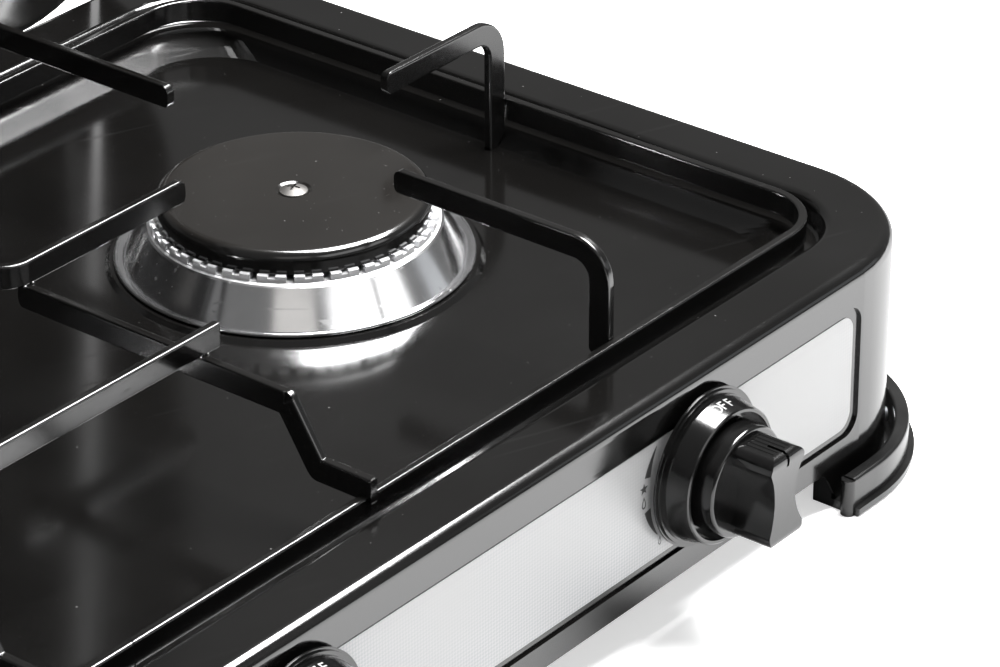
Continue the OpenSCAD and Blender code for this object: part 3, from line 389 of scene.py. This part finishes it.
FINISH = {
    "body_shell": ENAMEL_BODY, "lid": ENAMEL_BODY, "burner_cap": ENAMEL_CAP,
    "burner_ring": POLISHED, "burner_cup": CAST, "cap_screws": SCREW_STEEL,
    "foot_screws": ZINC, "foot_": FOOT_BLACK, "knob_": KNOB_BLACK,
    "support_frame": ENAMEL_BARS, "cross_bar": ENAMEL_BARS, "fingers": ENAMEL_BARS,
    "long_finger": ENAMEL_BARS, "middle_bar": ENAMEL_BARS,
    "gas_rail": ZINC, "rail_brackets": ZINC, "supply_pipe": ZINC, "tap_clamps": ZINC,
    "tap_covers": ZINC,
    "clamp_screws": ZINC, "tap_collar": ZINC, "tap_stem": BRASS, "tap_": BRASS,
    "jets": BRASS, "inlet": BRASS, "hinge": ZINC, "bracket_rivets": ZINC,
    "lid_straps": ZINC, "strap_rivets": ZINC,
}


def finish_for(node):
    best = max((key for key in FINISH if node.startswith(key)), key=len)
    return FINISH[best]


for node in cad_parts:
    piece = bpy.data.objects[node]
    for place in piece.material_slots:
        place.material = finish_for(node)


# pieces

def new_piece(name, mesh, material, body, smooth=True):
    piece = bpy.data.objects.new(name, mesh)
    bpy.context.scene.collection.objects.link(piece)
    mesh.materials.clear()
    mesh.materials.append(material)
    if smooth:
        for face in mesh.polygons:
            face.use_smooth = True
    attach(piece, body)
    return piece


def filled_outline(name, outlines, thick):
    """A flat plate in the x-z plane from closed outlines; inner ones are holes."""
    curve = bpy.data.curves.new(name, "CURVE")
    curve.dimensions = "2D"
    curve.fill_mode = "BOTH"
    curve.extrude = thick / 2
    for outline in outlines:
        spline = curve.splines.new("POLY")
        spline.points.add(len(outline) - 1)
        for point, (x, z) in zip(spline.points, outline):
            point.co = (x, z, 0, 1)
        spline.use_cyclic_u = True
    holder = bpy.data.objects.new(name + "_curve", curve)
    bpy.context.scene.collection.objects.link(holder)
    mesh = bpy.data.meshes.new_from_object(holder)
    mesh.name = name
    bpy.data.objects.remove(holder)
    mesh.transform(Matrix.Rotation(math.pi / 2, 4, "X"))
    return mesh


def rounded_outline(hx, hz, r, steps=8):
    points = []
    for cx, cz, turn in ((hx - r, hz - r, 0), (r - hx, hz - r, 90), (r - hx, r - hz, 180),
                         (hx - r, r - hz, 270)):
        for k in range(steps + 1):
            a = math.radians(turn + 90 * k / steps)
            points.append((cx + r * math.cos(a), cz + r * math.sin(a)))
    return points


def circle_outline(cx, cz, r, steps=48):
    return [(cx + r * math.cos(2 * math.pi * k / steps), cz + r * math.sin(2 * math.pi * k / steps))
            for k in range(steps)]


def scaled(outline, dx=0.0, dz=0.0):
    return [((x + dx) * MM, (z + dz) * MM) for x, z in outline]


def build_label():
    """The silver label in the sunk front panel, pierced for the tap stems."""
    outer = scaled(rounded_outline(LABEL_HALF_W, LABEL_HALF_H, LABEL_R))
    holes = [scaled(circle_outline(x, KNOB_Z - PANEL_Z, STEM_HOLE_R)) for x in KNOB_X.values()]
    mesh = filled_outline("front_label", [outer] + holes, 0.0002)
    mesh.transform(Matrix.Translation(at(0, PANEL_Y - 0.12, PANEL_Z)))
    piece = new_piece("front_label", mesh, LABEL, "stove", smooth=False)


def arc_mark(a0, a1, r, w0, w1, steps=16):
    """A crescent round the knob, from angle a0 to a1, whose width goes from w0 to w1."""
    inner, outer = [], []
    for k in range(steps + 1):
        t = k / steps
        a = math.radians(a0 + (a1 - a0) * t)
        w = (w0 + (w1 - w0) * t) / 2
        for radius, out in ((r - w, inner), (r + w, outer)):
            out.append((-radius * math.sin(a), radius * math.cos(a)))
    return inner + outer[::-1]


def on_circle(r, angle):
    """A point left of the knob's axis, by its angle from the top in degrees."""
    a = math.radians(angle)
    return -r * math.sin(a), r * math.cos(a)


def star_mark(x, z, r):
    return [(x + (r if k % 2 == 0 else r * 0.42) * math.sin(math.pi * k / 5),
             z + (r if k % 2 == 0 else r * 0.42) * math.cos(math.pi * k / 5)) for k in range(10)]


def flame_mark(x, z, h, steps=20):
    """A drop with its point up."""
    points = []
    for k in range(steps):
        a = 2 * math.pi * k / steps
        squeeze = 0.5 * (1 - math.cos(a)) ** 0.8
        points.append((x + 0.5 * h * 0.62 * math.sin(a) * squeeze * 1.2, z + 0.5 * h * math.cos(a)))
    return points


def build_marks():
    """The printed turning marks left of each knob: light, high and low flame."""
    star = (27.2, 83.5, 2.0)
    flames = ((27.0, 93.7, 4.4), (26.4, 135.3, 3.2))
    for side in SIDES:
        outlines = [arc_mark(53.4, 76.0, 26.0, 0.3, 3.0), arc_mark(102.0, 129.2, 25.6, 3.0, 0.3)]
        r, angle, size = star
        outlines.append(star_mark(*on_circle(r, angle), size))
        for r, angle, height in flames:
            x, z = on_circle(r, angle)
            outlines.append(flame_mark(x, z, height))
            outlines.append(flame_mark(x, z - 0.15, height * 0.66))
        mesh = filled_outline("knob_marks_" + side, [scaled(o) for o in outlines], 0.00004)
        mesh.transform(Matrix.Translation(at(KNOB_X[side], PANEL_Y - 0.24, KNOB_Z)))
        piece = new_piece("knob_marks_" + side, mesh, INK_BLACK, "stove", smooth=False)


def skirt_point(angle, s, lift):
    """A point on the knob's skirt: angle to the left from its top, s from the flange's back."""
    r = SKIRT_R - SKIRT_SLOPE * max(0.0, s - SKIRT_START) + lift
    return -math.sin(angle) * r, -(KNOB_BACK + s), KNOB_Z + math.cos(angle) * r


def letter_form(letter):
    """One bold letter as a triangle mesh, centred, one unit high."""
    text = bpy.data.curves.new("letter", "FONT")
    text.body = letter
    text.offset = 0.012
    holder = bpy.data.objects.new("letter_holder", text)
    bpy.context.scene.collection.objects.link(holder)
    mesh = bpy.data.meshes.new_from_object(holder)
    bpy.data.objects.remove(holder)
    form = bmesh.new()
    form.from_mesh(mesh)
    bmesh.ops.triangulate(form, faces=form.faces[:])
    xs = [v.co.x for v in form.verts]
    ys = [v.co.y for v in form.verts]
    tall = max(ys) - min(ys)
    for vert in form.verts:
        vert.co.x = (vert.co.x - (max(xs) + min(xs)) / 2) / tall
        vert.co.y = (vert.co.y - (max(ys) + min(ys)) / 2) / tall
    return form


def dot_form():
    form = bmesh.new()
    form.faces.new([form.verts.new((0.5 * math.cos(k * math.pi / 12),
                                    0.5 * math.sin(k * math.pi / 12), 0)) for k in range(24)])
    return form


def build_knob_letters():
    """OFF with its dot, printed round the top of each knob's skirt."""
    signs = ((None, 14.8, 5.6, DOT_D), ("O", 5.8, 5.75, LETTER_H), ("F", -2.2, 5.75, LETTER_H),
             ("F", -10.4, 5.7, LETTER_H))
    for side in SIDES:
        whole = bmesh.new()
        for letter, angle, s, size in signs:
            form = letter_form(letter) if letter else dot_form()
            bmesh.ops.subdivide_edges(form, edges=form.edges[:], cuts=1)
            bmesh.ops.triangulate(form, faces=form.faces[:])
            for vert in form.verts:
                turn = math.radians(angle) - vert.co.x * size / LETTER_R
                x, y, z = skirt_point(turn, s - vert.co.y * size, 0.07)
                vert.co = at(x + KNOB_X[side], y, z)
            part = bpy.data.meshes.new("letter_part")
            form.to_mesh(part)
            form.free()
            whole.from_mesh(part)
            bpy.data.meshes.remove(part)
        mesh = bpy.data.meshes.new("off_letters_" + side)
        whole.to_mesh(mesh)
        whole.free()
        piece = new_piece("off_letters_" + side, mesh, INK_WHITE, "knob_" + side)


def weld_bead(name, points, radius, body, seed):
    """A row of overlapping drops of weld along the points."""
    rng = random.Random(seed)
    form = bmesh.new()
    for x, y, z in points:
        r = radius * rng.uniform(0.85, 1.2) * MM
        spot = bmesh.ops.create_icosphere(form, subdivisions=2, radius=r)
        squash = Matrix.Diagonal((rng.uniform(0.9, 1.1), rng.uniform(0.9, 1.1),
                                  rng.uniform(0.7, 0.9), 1.0))
        bmesh.ops.transform(form, matrix=Matrix.Translation(at(x, y, z)) @ squash,
                            verts=spot["verts"])
    mesh = bpy.data.meshes.new(name)
    form.to_mesh(mesh)
    form.free()
    piece = new_piece(name, mesh, ENAMEL_BARS, body)


def leg_welds(x, y, along_x):
    """Small beads beside the foot of a leg that stands against the frame."""
    spots = []
    for side in (-1, 1):
        for z in LEG_WELD_Z:
            spots.append((x + side * 1.7, y, z) if along_x else (x, y + side * 1.7, z))
    return spots


def build_welds():
    """Welds that join the bars of the pan support."""
    seed = 1
    for sign, side in ((1, "right"), (-1, "left")):
        crossing = [(dx, dy) for dx in (-1.6, 1.6) for dy in (-1.4, 0.0, 1.4)]
        spots = {
            "front": leg_welds(sign * FINGER_X, -FRAME_Y, True),
            "rear": leg_welds(sign * FINGER_X, FRAME_Y, True),
            "end": leg_welds(sign * FRAME_END_X, ARM_Y, False),
            "cross_rear": leg_welds(sign * CROSS_LEG_X, FRAME_Y, True),
            "under_finger": [(sign * CROSS_X + dx, ARM_Y + dy, WELD_Z) for dx, dy in crossing],
            "middle_bar": [(sign * CROSS_X + dx, ARM_Y - MIDDLE_BAR_FWD + dy, WELD_Z)
                           for dx, dy in crossing],
        }
        for where, points in spots.items():
            seed += 1
            weld_bead("weld_" + where + "_" + side, points, WELD_R, "pan_support", seed)


build_label()
build_marks()
build_knob_letters()
build_welds()


# floor and light

def floor_material():
    """A white table that stays white to the camera and keeps the shadow.

    In the stove's gloss its colour carries a painted shade: darker beside the stove, brightest before
    the front.
    """
    mat, tree, shader = begin("white_table")
    path = add(tree, "ShaderNodeLightPath")
    place = add(tree, "ShaderNodeTexCoord").outputs["Object"]
    depth = add(tree, "ShaderNodeSeparateXYZ", Vector=place).outputs[1]
    # painted shade: seen in the stove's gloss, the table's colour is darkened beside and behind the
    # stove in place of uneven light on it
    painted_gloss_shade = spread(tree, depth, -0.3, -0.1, 0.18, 0.64)
    painted_shade_loss = maths(tree, "MULTIPLY", path.outputs["Is Glossy Ray"], painted_gloss_shade)
    shade = maths(tree, "SUBTRACT", 0.86, painted_shade_loss)
    tree.links.new(add(tree, "ShaderNodeCombineColor", i0=shade, i1=shade, i2=shade).outputs[0],
                   shader.inputs["Base Color"])
    set_on(shader, Roughness=0.55, Emission_Color=(1.0, 1.0, 1.0, 1.0))
    tree.links.new(maths(tree, "MULTIPLY", path.outputs["Is Camera Ray"], 0.52),
                   shader.inputs["Emission Strength"])
    return mat


def build_floor():
    mesh = bpy.data.meshes.new("table_top")
    size = 6.0
    mesh.from_pydata([(-size, -size, 0), (size, -size, 0), (size, size, 0), (-size, size, 0)], [],
                     [(0, 1, 2, 3)])
    floor = bpy.data.objects.new("table_top", mesh)
    floor.location.z = -0.0002
    mesh.materials.append(floor_material())
    bpy.context.scene.collection.objects.link(floor)


def build_world():
    world = bpy.data.worlds.new("studio")
    world.use_nodes = True
    tree = world.node_tree
    tree.nodes.clear()
    path = add(tree, "ShaderNodeLightPath")
    seen = add(tree, "ShaderNodeBackground", Color=(1, 1, 1, 1), Strength=1.0)
    around = add(tree, "ShaderNodeBackground", Color=(1, 1, 1, 1), Strength=0.18)
    both = add(tree, "ShaderNodeMixShader", i0=path.outputs["Is Camera Ray"],
               i1=around.outputs[0], i2=seen.outputs[0])
    add(tree, "ShaderNodeOutputWorld", Surface=both.outputs[0])
    bpy.context.scene.world = world


def soft_lamp(name, size, radiance, tone=(1.0, 1.0, 1.0)):
    """A flat rectangular lamp of even radiance, not yet placed."""
    data = bpy.data.lights.new(name, "AREA")
    data.shape = "RECTANGLE"
    data.size, data.size_y = size
    data.energy = radiance * math.pi * size[0] * size[1]
    data.color = tone
    lamp = bpy.data.objects.new(name, data)
    bpy.context.scene.collection.objects.link(lamp)
    return lamp


def panel(name, azimuth, elevation, distance, size, radiance, tone=(1.0, 1.0, 1.0)):
    """A soft panel that faces the stove from a direction given in degrees."""
    a, e = math.radians(azimuth), math.radians(elevation)
    toward = Vector((math.cos(a) * math.cos(e), math.sin(a) * math.cos(e), math.sin(e)))
    lamp = soft_lamp(name, size, radiance, tone)
    lamp.location = toward * distance
    lamp.rotation_euler = (-toward).to_track_quat("-Z", "Y").to_euler()


def lid_strip():
    """A slim lamp fitted to the upright glow in the tray, whose real cause isn't known."""
    lamp = soft_lamp("lid_strip", (0.003, 0.36), 1.8)
    along = Vector((0, 0.093, 1)).normalized()
    back = Vector((0.68, 0.55, 0.48))
    back = (back - along * back.dot(along)).normalized()
    turn = Matrix((along.cross(back), along, back)).transposed().to_4x4()
    lamp.matrix_world = Matrix.Translation(at(288, 193, 245)) @ turn
    lamp.visible_camera = False


build_floor()
build_world()
lid_strip()
panel("main_panel", -12, 65, 2.3, (1.3, 1.3), 54.0)
panel("front_panel", -83, 31, 2.3, (2.3, 0.9), 1.7)
panel("left_panel", -136, 38, 2.3, (1.0, 0.9), 0.6, (1.0, 0.97, 0.93))
panel("right_panel", -36, 13, 2.3, (0.9, 0.45), 0.5, (0.92, 0.96, 1.0))

bpy.context.scene.view_settings.view_transform = "Standard"
